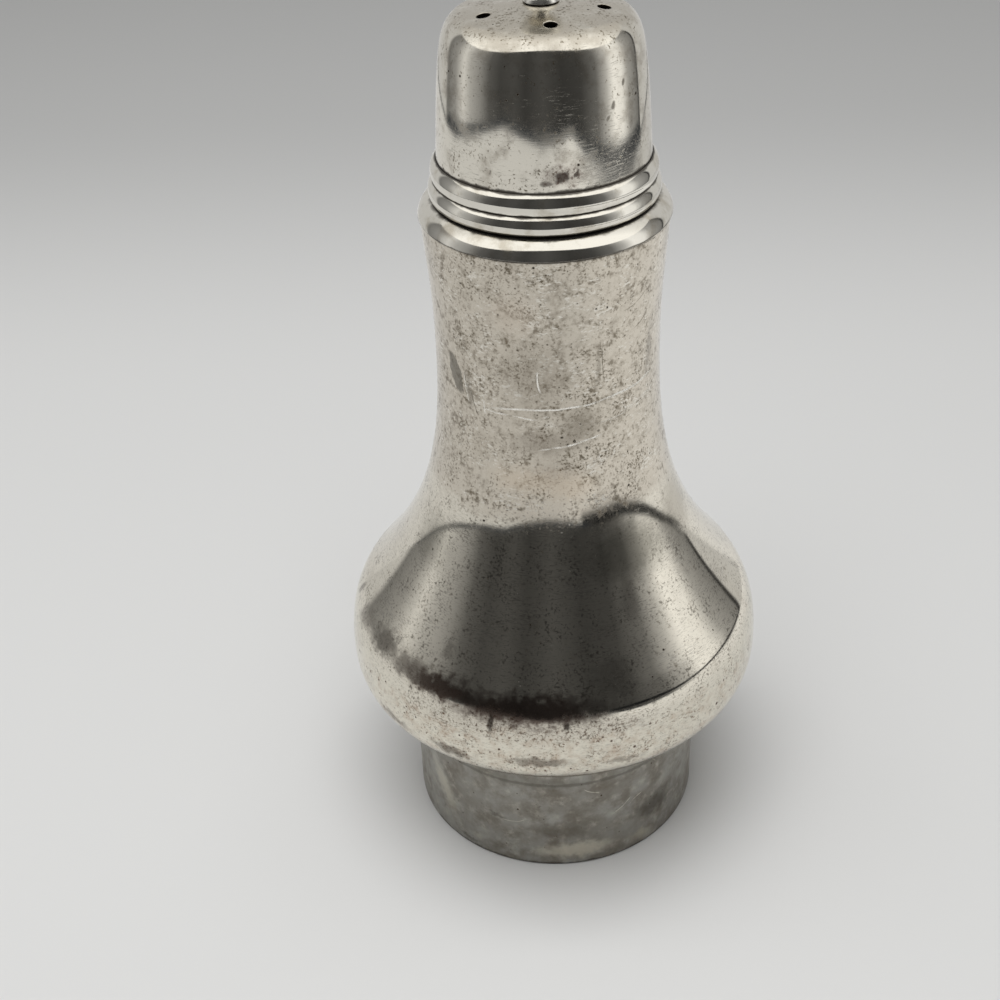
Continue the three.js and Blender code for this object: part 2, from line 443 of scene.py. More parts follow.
    def specks(self, spacing: float, widest: float, rarity: float, code: str, sheen: float,
               share: Feed = 1.0, core: str | None = None) -> None:
        """Scatters round pits, small ones mostly, with a pale bottom in the wide ones if asked.

        Args:
            spacing: The distance between possible pits in millimetres.
            widest: The diameter of the largest.
            rarity: The higher, the fewer of them are large.
            code: Their colour.
            sheen: Their roughness.
            share: How strongly they show, as a number or a mask.
            core: The colour of a pale bottom.
        """
        tree = self.tree
        cells = add(tree, "TexVoronoi", {"Vector": self.strayed(spacing * 0.4, spacing * 0.05),
                                         "Scale": 1 / (spacing * MM)})
        lot = add(tree, "SeparateColor", {"Color": cells.outputs["Color"]}).outputs["Red"]
        rare = add(tree, "Math", {0: lot, 1: rarity}, operation="POWER")
        reach = add(tree, "Math", {0: rare, 1: widest / 2 / spacing}, operation="MULTIPLY")
        for colour, part in ((code, 1.0), (core, 0.45)):
            if colour is None:
                continue
            limit = add(tree, "Math", {0: reach, 1: part}, operation="MULTIPLY")
            inside = add(tree, "Math", {0: limit, 1: cells.outputs["Distance"]}, operation="SUBTRACT")
            mask = add(tree, "Math", {0: inside, 1: 5 * spacing / widest}, operation="MULTIPLY",
                       use_clamp=True)
            self.film(colour, sheen, mask, share)

    def mark_place(self, mark: Mark) -> Feed:
        """Gives the place in a mark's own frame.

        Args:
            mark: The mark.

        Returns:
            The place across, inwards and along from the mark's middle, in its half sizes.
        """
        turn = radians(mark.angle)
        centre = (mark.radius * sin(turn) * MM, -mark.radius * cos(turn) * MM, mark.height * MM)
        sizes = (mark.wide / 2 * MM, 4 * MM, mark.tall / 2 * MM)
        place = self.strayed(0.8, 0.25 * mark.ragged) if mark.ragged else self.place
        return add(self.tree, "Mapping", {"Vector": place, "Location": centre,
                                          "Rotation": (0, radians(mark.lean), turn), "Scale": sizes},
                   vector_type="TEXTURE")

    def stain(self, mark: Mark, soft: float = 0.6, breaks: float = 0.0) -> None:
        """Lays one stain.

        Args:
            mark: Where it lies and what it looks like.
            soft: How soft its edge is, from 0 to 1.
            breaks: How far it breaks up into specks, from 0 to 1.
        """
        tree = self.tree
        away = add(tree, "VectorMath", {0: self.mark_place(mark)}, operation="LENGTH").outputs["Value"]
        mask = add(tree, "MapRange", {"Value": away, "From Min": 1.0, "From Max": 1.0 - soft,
                                      "To Max": mark.strength}, interpolation_type="SMOOTHSTEP")
        masks = [mask]
        if breaks:
            broken = add(tree, "MapRange", {"Value": self.cloud(0.35, 5.0), "From Min": 0.5,
                                            "From Max": 0.5 + 0.14 / breaks, "To Min": 1.0 - breaks},
                         interpolation_type="SMOOTHSTEP")
            masks.append(broken)
        self.film(mark.code, mark.sheen, *masks)

    def scratch(self, mark: Mark) -> None:
        """Draws one thin scratch.

        Args:
            mark: Where it lies and what it looks like. Wide is its length here, and tall its width.
        """
        tree = self.tree
        split = add(tree, "SeparateXYZ", {"Vector": self.mark_place(mark)})
        along = add(tree, "Math", {0: split.outputs["X"]}, operation="ABSOLUTE")
        square = add(tree, "Math", {0: along, 1: along}, operation="MULTIPLY")
        bow = add(tree, "Math", {0: square, 1: 2 * mark.bend / mark.tall}, operation="MULTIPLY")
        off = add(tree, "Math", {0: split.outputs["Z"], 1: bow}, operation="SUBTRACT")
        across = add(tree, "Math", {0: off}, operation="ABSOLUTE")
        line = add(tree, "MapRange", {"Value": across, "From Min": 1.0, "From Max": 0.4,
                                      "To Max": mark.strength})
        ends = add(tree, "MapRange", {"Value": along, "From Min": 1.0, "From Max": 0.7})
        broken = add(tree, "MapRange", {"Value": self.cloud(0.5), "From Min": 0.3, "From Max": 0.5})
        self.film(mark.code, mark.sheen, line, ends, broken, metallic=mark.metallic)

    def ring_scratch(self, start: float, finish: float, low: float, rise: float, width: float,
                     strength: float) -> None:
        """Draws a scratch that runs some way round the piece, white as a painted glint.

        Args:
            start: The angle it starts at, in degrees.
            finish: The angle it ends at.
            low: Its height at its start in millimetres.
            rise: How far it climbs to its end.
            width: Its width.
            strength: How clearly it shows.
        """
        tree = self.tree
        run = add(tree, "MapRange", {"Value": self.angle, "From Min": start, "From Max": finish},
                  clamp=False)
        climb = add(tree, "Math", {0: run, 1: rise}, operation="MULTIPLY")
        off = add(tree, "Math", {0: self.height, 1: climb}, operation="SUBTRACT")
        off = add(tree, "Math", {0: off, 1: low}, operation="SUBTRACT")
        sway = add(tree, "Math", {0: self.cloud(6.0), 1: 0.5}, operation="SUBTRACT")
        off = add(tree, "Math", {0: off, 1: sway}, operation="ADD")
        across = add(tree, "Math", {0: off}, operation="ABSOLUTE")
        line = add(tree, "MapRange", {"Value": across, "From Min": width / 2,
                                      "From Max": width / 5, "To Max": strength})
        middle = add(tree, "Math", {0: run, 1: 0.5}, operation="SUBTRACT")
        along = add(tree, "Math", {0: middle}, operation="ABSOLUTE")
        ends = add(tree, "MapRange", {"Value": along, "From Min": 0.5, "From Max": 0.35})
        broken = add(tree, "MapRange", {"Value": self.cloud(1.2), "From Min": 0.32, "From Max": 0.52})
        self.film(SCRATCH_GLINT_WHITE, 0.6, line, ends, broken, metallic=0.1)

    def seam(self, height: float, reach: float, strength: float, code: str = "#2a2119") -> None:
        """Darkens the corner at one height: grime, with painted shade where the parts meet.

        Args:
            height: The height of the corner in millimetres.
            reach: How far it creeps up and down from there.
            strength: How dark it is.
            code: Its colour.
        """
        tree = self.tree
        off = add(tree, "Math", {0: self.height, 1: height}, operation="SUBTRACT")
        off = add(tree, "Math", {0: off}, operation="ABSOLUTE")
        ragged = add(tree, "MapRange", {"Value": self.cloud(1.5, 5.0), "From Min": 0.3, "From Max": 0.7,
                                        "To Min": reach * 0.45, "To Max": reach * 1.5})
        share = add(tree, "Math", {0: off, 1: ragged}, operation="DIVIDE")
        mask = add(tree, "MapRange", {"Value": share, "From Min": 1.0, "From Max": 0.3,
                                      "To Max": strength}, interpolation_type="SMOOTHSTEP")
        self.film(code, 0.45, mask)

    def underside(self, centre: Sequence[float], reach: float, rim: float, code: str) -> None:
        """Blackens the walls of holes in a domed top and the sheet under it: painted shade inside the
        holes, and grime.

        Args:
            centre: The centre of the dome's curve in millimetres.
            reach: The radius of the dome's curve.
            rim: How far from the axis the dome goes.
            code: The colour of the painted shade and grime.
        """
        tree = self.tree
        middle = tuple(part * MM for part in centre)
        away = add(tree, "VectorMath", {0: self.place, 1: middle}, operation="DISTANCE").outputs["Value"]
        below = add(tree, "MapRange", {"Value": away, "From Min": (reach - 0.015) * MM,
                                       "From Max": (reach - 0.06) * MM})
        flat = add(tree, "VectorMath", {0: self.place, 1: (1, 1, 0)}, operation="MULTIPLY")
        out = add(tree, "VectorMath", {0: flat}, operation="LENGTH").outputs["Value"]
        near = add(tree, "Math", {0: out, 1: rim * MM}, operation="LESS_THAN")
        self.film(code, 0.6, below, near)

    def hairlines(self, depth: float) -> None:
        """Adds the fine rings of polishing, drawn about 0.2 mm apart so that they show.

        Args:
            depth: Their depth in millimetres.
        """
        self.relief.append((self.cloud(2.4, 3.0, (1, 1, 12)), depth))

    def ripples(self, size: float, depth: float) -> None:
        """Adds the low waves that spinning and wear leave, which bend what the silver mirrors."""
        self.relief.append((self.cloud(size, 1.0), depth))

    def done(self) -> bpy.types.Material:
        """Joins the films to the shader.

        Returns:
            The finished material.
        """
        tree = self.tree
        normal: dict[str, Feed] = {}
        for height, depth in self.relief:
            bump = add(tree, "Bump", {"Height": height, "Distance": depth * MM, "Strength": 1.0, **normal})
            normal = {"Normal": bump}
        shader = add(tree, "BsdfPrincipled", {"Base Color": self.tone, "Metallic": self.metallic,
                                              "Roughness": self.rough, **normal})
        add(tree, "OutputMaterial", {"Surface": shader})
        return self.made


@dataclass(frozen=True)
class Plate:
    """Electroplated silver, buffed: a warm mirror, clouded where handling has worn and dulled it."""

    name: str = "silver_plate_buffed"
    slot: Slot = Slot.TRIM
    metal: str = "#e9e6dd"
    metal_sheen: float = 0.07
    film: str = "#cdc7ba"
    film_sheen: float = 0.15
    film_share: float = 0.42
    seams: tuple[Seam, ...] = ()
    line_depth: float = 0.0006
    ripple_size: float = 7.0
    ripple_depth: float = 0.0

    def material(self) -> bpy.types.Material:
        """Builds the finish, from the wear over the whole to the grime and painted shade in the seams.

        Returns:
            The finished material.
        """
        coat = Coat(self.name, self.metal, self.metal_sheen)
        self.wear(coat)
        for seam in self.seams:
            coat.seam(*seam)
        coat.hairlines(self.line_depth)
        if self.ripple_depth:
            coat.ripples(self.ripple_size, self.ripple_depth)
        return coat.done()

    def wear(self, coat: Coat) -> None:
        """Adds the wear of a small bright moulding: a thin film and a few pits."""
        coat.haze(2.2, self.film_share, self.film, self.film_sheen)
        coat.specks(0.9, 0.22, 6.0, "#4a3c2f", 0.4)


@dataclass(frozen=True)
class SpunBody(Plate):
    """Electroplated silver on spun sheet: mirror-bright on the belly, clouded and pitted on the neck."""

    name: str = "silver_plate_spun_body"
    slot: Slot = Slot.BODY
    metal: str = "#e8e3d6"
    film: str = "#cbc4b7"
    film_sheen: float = 0.09
    brushed: float = 0.37
    # Painted shade and grime: darker where the belly turns under to the foot, and where the neck meets the
    # collar
    seams: tuple[Seam, ...] = ((15.6, 0.5, 0.8), (72.1, 0.25, 0.5))
    line_depth: float = 0.0005
    ripple_depth: float = 0.01

    def wear(self, coat: Coat) -> None:
        """Adds the wear of the whole body and then that of its neck and its belly.

        Args:
            coat: The finish in the making.
        """
        # Rings of old polishing, all over
        coat.haze(1.1, coat.patchy(self.brushed, 3.0, 0.3), "#c6c2b9", 0.12, 0.1, (1, 1, 14))
        coat.haze(0.5, coat.patchy(self.brushed, 2.5, 0.4), "#a8a399", 0.12, 0.1, (1, 1, 8))
        coat.haze(0.28, coat.patchy(self.brushed, 2.2, 0.5), "#8f8a80", 0.12, 0.08)
        # Handling, from the belly's shoulder up
        handled = coat.rising(43.0, 46.5, 0.26, 0.62)
        coat.haze(4.0, handled, self.film, self.film_sheen, 0.2)
        coat.haze(1.9, coat.rising(43.5, 48.0, 0.2, 0.49), "#8c8375", 0.12, 0.13)
        coat.haze(0.7, coat.patchy(handled, 3.4, 0.5), "#d6cfc2", 0.1, 0.2)
        # Grain and pits, mostly on the neck
        grained = coat.rising(42.5, 46.0, 0.24, 0.36)
        coat.haze(0.5, coat.patchy(grained, 1.8, 0.7), "#857c6d", 0.28, 0.14)
        coat.haze(0.24, coat.patchy(grained, 3.0, 0.6), "#746b5c", 0.3, 0.1)
        coat.haze(0.5, coat.patchy(grained, 2.6, 0.6), "#ece8de", 0.26, 0.08, (1, 1, 2))
        coat.specks(0.55, 0.3, 3.4, "#4f4639", 0.35, coat.rising(42.0, 47.0, 0.4, 0.8))
        coat.specks(0.6, 0.14, 2.0, "#e4e0d6", 0.35, 0.6)
        coat.specks(1.1, 0.36, 4.0, "#332a21", 0.45)
        self.neck(coat)
        self.belly(coat)

    def neck(self, coat: Coat) -> None:
        """Adds the neck's worn patches, a painted warm highlight, its crater pits and its scratches.

        Args:
            coat: The finish in the making.
        """
        for mark, breaks in (
            (Mark(16, 54.6, 11.2, 5.6, 6.0, code="#857d70", sheen=0.24, strength=0.8, ragged=2), 0.3),
            (Mark(-6, 60.0, 11.1, 10, 10, code="#877e70", sheen=0.25, strength=0.8, ragged=2), 0.6),
            (Mark(-2, 53.0, 11.4, 10, 4, code="#80766a", sheen=0.3, strength=0.8, ragged=2), 0.5),
            (Mark(2, 50.0, 11.7, 7, 4, code="#8a7c6c", sheen=0.3, strength=0.6, ragged=2), 0.7),
            # Painted highlight: the two pale warm patches at the foot of the neck
            (Mark(8, 48.4, 12.0, 8, 4.4, code="#dccbb4", sheen=0.14, strength=0.5, ragged=2), 0.3),
            (Mark(-14, 49.0, 12.0, 9, 4.4, code="#dccbb4", sheen=0.14, strength=0.5, ragged=2), 0.3),
            (Mark(-16, 66.5, 11.3, 7, 6, code="#dfd2c2", sheen=0.2, strength=0.6, ragged=2), 0.5),
            (Mark(60, 60, 11.1, 1.6, 9, 4, code="#6f6a62", sheen=0.3, strength=0.8, ragged=2), 0.5),
            (Mark(25, 60.5, 11.07, 0.7, 6.5, 2, code="#7b7468", sheen=0.3, strength=0.8), 0.5),
            (Mark(-36, 52.0, 11.4, 4.0, 5.0, 0, code="#9b9282", sheen=0.28, strength=0.6, ragged=2), 0.7),
        ):
            coat.stain(mark, 0.85, breaks)
        coat.stain(Mark(-52.5, 58.5, 11.06, 1.9, 4.6, -20, code="#6a665d", sheen=0.35, strength=0.95,
                        ragged=1.0), 0.2, 0.25)
        coat.stain(Mark(-43, 57.2, 11.07, 1.2, 5.6, -8, code="#5d564b", sheen=0.4, strength=0.8), 0.8, 0.6)
        craters = Mark(15, 54.2, 11.2, 8, 8)
        away = add(coat.tree, "VectorMath", {0: coat.mark_place(craters)}, operation="LENGTH")
        near = add(coat.tree, "MapRange", {"Value": away.outputs["Value"], "From Min": 1.0,
                                           "From Max": 0.4})
        coat.specks(0.6, 0.42, 1.4, "#3d362c", 0.4, near, core="#dcd6c8")
        coat.ring_scratch(-33, 70, 56.3, 1.2, 0.27, 1.0)
        coat.ring_scratch(-34, -5, 56.1, -0.6, 0.19, 0.9)
        coat.ring_scratch(-6, 27, 52.2, 1.0, 0.23, 1.0)
        coat.ring_scratch(38, 62, 55.0, 0.5, 0.14, 0.6)
        coat.ring_scratch(20, 64, 54.4, 0.8, 0.12, 0.5)
        # The white scratches below are painted glints.
        for mark in (
            Mark(-5.2, 59.6, 11.07, 2.4, 0.2, 84, 0.18, SCRATCH_GLINT_WHITE, 0.6, 1.0, 0.1, 0.1),
            Mark(-45, 57.5, 11.06, 3.2, 0.14, 80, 0.1, SCRATCH_GLINT_WHITE, 0.6, 0.8, 0.1, 0.1),
            Mark(-40, 56.2, 11.08, 3.0, 0.12, 72, 0.1, "#3f3a32", 0.4, 0.7, 0.1),
            Mark(-33.5, 56.4, 11.08, 2.2, 0.13, 88, 0.05, SCRATCH_GLINT_WHITE, 0.6, 0.9, 0.1, 0.1),
            Mark(27, 61.0, 11.07, 4.6, 0.12, 87, 0.2, "#57503f", 0.4, 0.8, 0.1),
            Mark(46, 66.0, 11.2, 3.4, 0.12, -20, 0.3, "#6b6353", 0.4, 0.7, 0.1),
            Mark(52, 63.8, 11.15, 3.0, 0.12, -32, 0.3, "#6b6353", 0.4, 0.7, 0.1),
        ):
            coat.scratch(mark)

    def belly(self, coat: Coat) -> None:
        """Adds the belly's corrosion, which runs round its widest part, and its rusty speckle.

        Args:
            coat: The finish in the making.
        """
        coat.stain(Mark(-8, 28.0, 21.4, 27, 4.6, -2, code="#5b4b45", sheen=0.11, strength=0.9,
                        ragged=3), 0.7)
        coat.stain(Mark(-33, 28.4, 21.0, 12, 3.4, -6, code="#4c3b33", sheen=0.14, strength=0.85,
                        ragged=3), 0.7)
        band = "#3a2b24"
        for mark, breaks in (
            (Mark(-71, 28.6, 21.1, 5.5, 3.0, -12, code=band, strength=0.95, ragged=2), 0.5),
            (Mark(-58, 28.9, 20.9, 7.5, 3.6, -10, code="#241812", strength=1.0, ragged=2), 0.3),
            (Mark(-45, 28.7, 20.9, 7.5, 3.2, -8, code=band, strength=1.0, ragged=2), 0.4),
            (Mark(-32, 28.3, 21.0, 7.0, 2.6, -6, code=band, strength=0.9, ragged=2), 0.5),
            (Mark(-16, 27.3, 21.4, 10.0, 2.4, 0, code="#38271c", strength=0.9, ragged=2), 0.7),
            (Mark(6, 27.2, 21.5, 10.0, 2.0, 0, code="#38271c", strength=0.9, ragged=2), 0.7),
            (Mark(-14, 25.6, 21.9, 15, 3.6, 0, code="#54402f", strength=0.85, ragged=2), 0.9),
            (Mark(10, 25.8, 21.8, 17, 3.0, 0, code="#5b4534", strength=0.8, ragged=2), 0.9),
            (Mark(-34, 25.4, 21.9, 12, 3.4, 0, code="#54402f", strength=0.6, ragged=2), 0.9),
            (Mark(-17, 26.3, 21.7, 0.9, 3.4, 0, code="#24160e", strength=1.0, ragged=0.8), 0.2),
            (Mark(3, 26.5, 21.6, 1.0, 1.4, 0, code="#24160e", strength=1.0, ragged=0.8), 0.2),
            (Mark(29, 36, 15.8, 2.8, 5.4, 8, code="#4b4541", sheen=0.3, strength=0.6), 0.2),
            (Mark(36, 40.8, 14.4, 14, 9.4, 0, code="#7f7c72", sheen=0.1, strength=0.95, ragged=2), 0.2),
            (Mark(-58, 39.5, 14.8, 9, 8.0, 0, code="#98958a", sheen=0.12, strength=0.6, ragged=2), 0.2),
            (Mark(72, 41.5, 14.2, 10, 10, 0, code="#b0aa9d", sheen=0.12, strength=0.85, ragged=2), 0.2),
            (Mark(18, 30.4, 19.9, 7.0, 4.4, 0, code="#2c2622", sheen=0.22, strength=0.75, ragged=2), 0.4),
            (Mark(-34, 31.6, 18.8, 2.0, 2.4, 0, code="#3a302a", sheen=0.3, strength=0.8, ragged=2), 0.5),
            (Mark(-85, 28.9, 20.8, 1.4, 2.6, 30, code="#5f5a54", sheen=0.4, strength=0.8), 0.3),
        ):
            coat.stain(mark, 0.7, breaks)
        speckled = coat.rising(24.0, 29.0, 0.31, 0.2)
        coat.haze(1.1, coat.rising(24.5, 27.5, 0.36, 0.12), "#c0ae9c", 0.16, 0.24)
        coat.haze(0.3, coat.patchy(speckled, 1.8, 0.8), "#705b49", 0.3, 0.07)
        coat.specks(0.8, 0.44, 3.2, "#4d3a2c", 0.45, coat.rising(24.0, 28.5, 0.9, 0.0))
        for mark in (
            Mark(-29, 21.3, 21.9, 6.4, 2.2, 4, code="#3d3129", strength=1.0, ragged=2),
            Mark(-4, 22.0, 22.2, 8.4, 1.9, -2, code="#46382d", strength=1.0, ragged=2),
            Mark(-50, 21.2, 21.8, 7.0, 1.7, 3, code="#51463d", strength=0.85, ragged=2),
            Mark(18, 21.3, 22.0, 6.4, 1.3, 3, code="#62564b", strength=0.8, ragged=2),
        ):
            coat.stain(mark, 0.7, 0.4)


@dataclass(frozen=True)
class DullFoot(Plate):
    """Silver plate that is never buffed: satin, blotched grey and brown from lifting and setting down."""

    name: str = "silver_plate_dull_foot"
    slot: Slot = Slot.FOOT
    metal: str = "#a2a19c"
    metal_sheen: float = 0.34
    film: str = "#8b8881"
    film_sheen: float = 0.46
    # Painted shade: under the belly at the top, the belly's shaded underside mirrored at 12.4 mm, and the
    # contact with the table at the bottom
    seams: tuple[Seam, ...] = ((15.4, 0.5, 0.6), (12.4, 0.3, 0.45, "#57534c"), (0.0, 0.5, 0.7))

    def wear(self, coat: Coat) -> None:
        """Adds the foot's blotches and edge stains, a painted shade band at its top, and scratches from
        shelves and tables.

        Args:
            coat: The finish in the making.
        """
        coat.haze(6.0, 0.5, self.film, self.film_sheen, 0.2)
        coat.haze(2.4, 0.44, "#7a746b", 0.46, 0.18)
        coat.haze(1.3, 0.33, "#b8b4aa", 0.4, 0.2)
        coat.haze(0.35, coat.patchy(0.28, 2.5, 0.4), "#6f695f", 0.45, 0.1)
        for mark, breaks in (
            (Mark(-52, 6.6, 16, 3.6, 10, -28, code="#c9c5b8", sheen=0.38, strength=0.8, ragged=2), 0.2),
            (Mark(8, 2.2, 16, 12, 3.4, 0, code="#d6d0c1", sheen=0.4, strength=0.9, ragged=2), 0.3),
            (Mark(2, 5.4, 16, 9, 3.6, 0, code="#564d41", sheen=0.5, strength=0.8, ragged=2), 0.3),
            (Mark(44, 5.2, 16, 8, 4.6, 0, code="#464038", sheen=0.5, strength=0.85, ragged=2), 0.2),
            # Painted shade: this grey band is the belly's shaded underside, mirrored in the foot
            (Mark(-10, 12.6, 16, 20, 2.6, 0, code="#77746c", sheen=0.4, strength=0.6, ragged=2), 0.1),
            (Mark(-24, 6.6, 16, 3.4, 0.9, 12, code="#352c24", sheen=0.5, strength=0.9, ragged=1.2), 0.5),
            (Mark(36, 1.6, 16, 5, 2.4, 8, code="#b9ae9a", sheen=0.4, strength=0.5, ragged=2), 0.4),
            (Mark(-38, 1.0, 16, 4, 1.0, 0, code="#3c342b", sheen=0.5, strength=0.7, ragged=2), 0.5),
        ):
            coat.stain(mark, 0.8, breaks)
        coat.specks(0.7, 0.3, 5.0, "#4a4035", 0.5)
        for mark in (
            Mark(14, 10.9, 16, 2.2, 0.12, 25, 0.2, "#e6e1d4", 0.35, 0.6, 0.2),
            Mark(27, 7.4, 16, 3.0, 0.14, -35, 0.2, "#e6e1d4", 0.35, 0.6, 0.2),
            Mark(33, 7.9, 16, 2.0, 0.14, -30, -0.2, "#e6e1d4", 0.35, 0.5, 0.2),
            Mark(41, 12.6, 16, 2.4, 0.11, 60, 0.1, "#dcd7ca", 0.35, 0.5, 0.2),
            Mark(-17, 6.3, 16, 3.2, 0.12, -12, 0.4, "#d8d2c4", 0.35, 0.5, 0.2),
        ):
            coat.scratch(mark)


@dataclass(frozen=True)
class DrawnCap(Plate):
    """Silver plate on drawn sheet: buffed bright, with tarnish that starts at its seam, and painted shade
    and grime in its holes.
    """

    name: str = "silver_plate_drawn_cap"
    slot: Slot = Slot.CAP
    metal: str = "#e7e3d8"
    film: str = "#c4beb2"
    crown_foot: float = 89.2
    crown_start: float = 90.4
    crown_centre: float = 55.0
    crown_radius: float = 35.6
    crown_reach: float = 6.6

    def wear(self, coat: Coat) -> None:
        """Adds the cap's brown patch, its ring stains, the crown's specks and the painted shade and grime
        in its holes.

        Args:
            coat: The finish in the making.
        """
        coat.haze(2.2, self.film_share, self.film, self.film_sheen)
        crown = (self.crown_foot, self.crown_start)
        clouded = coat.rising(*crown, 0.22, 0.62, smooth=False)
        grained = coat.rising(*crown, 0.33, 0.39, smooth=False)
        pitted = coat.rising(*crown, 0.12, 1.0, smooth=False)
        coat.haze(1.2, coat.patchy(0.34, 3.0, 0.4), "#c2beb4", 0.3, 0.08, (1, 1, 12))
        coat.haze(1.3, clouded, "#c9c3b7", 0.22, 0.2)
        coat.haze(0.26, coat.patchy(grained, 1.8, 0.5), "#857c6c", 0.3, 0.07)
        coat.specks(0.5, 0.3, 3.0, "#4d4437", 0.4, pitted)
        coat.specks(1.0, 0.36, 3.4, "#3a2f25", 0.45)
        for mark, breaks in (
            (Mark(10, 79.2, 9.82, 5.0, 2.6, 4, code="#6b4534", strength=0.75, ragged=1.6), 0.75),
            (Mark(9, 79.1, 9.82, 1.9, 1.3, 0, code="#33190f", strength=0.95, ragged=1.2), 0.2),
            (Mark(17, 79.3, 9.82, 0.7, 1.0, 20, code="#3f2418", strength=0.9, ragged=0.9), 0.2),
            (Mark(1, 78.6, 9.84, 1.4, 0.7, 0, code="#40261b", strength=0.85, ragged=0.9), 0.4),
            (Mark(47.3, 86.1, 9.3, 0.5, 0.75, 10, code="#5b5348", sheen=0.35, strength=0.8), 0.1),
            (Mark(38.8, 84.5, 9.4, 0.6, 0.9, 15, code="#5b5348", sheen=0.35, strength=0.8), 0.1),
            (Mark(35.4, 83.5, 9.5, 0.7, 0.4, -30, code="#6a6255", sheen=0.35, strength=0.7), 0.1),
            (Mark(-28, 79.3, 9.8, 2.6, 0.8, 0, code="#7a7163", sheen=0.35, strength=0.6), 0.9),
        ):
            coat.stain(mark, 0.6, breaks)
        # Painted shade and grime inside the holes and under the crown
        coat.underside((0, 0, self.crown_centre), self.crown_radius, self.crown_reach, "#15100b")


@dataclass(frozen=True)
class SatinSleeve(Plate):
    """Silver plate inside a fit, rubbed satin by the collar and yellowed by salt air."""

    name: str = "silver_plate_satin_sleeve"
    slot: Slot = Slot.INSIDE
    metal: str = "#cfc6ae"
    metal_sheen: float = 0.28
    film: str = "#a89c80"
    film_sheen: float = 0.4


@dataclass(frozen=True)
class CastFinial(Plate):
    """Silver plate on a small casting, buffed round, with a darker rim of grime and painted shade where it
    is soldered.
    """

    name: str = "silver_plate_cast_finial"
    slot: Slot = Slot.FINIAL
    metal: str = "#efede6"
    metal_sheen: float = 0.18
    film: str = "#e2dfd6"
    film_sheen: float = 0.28


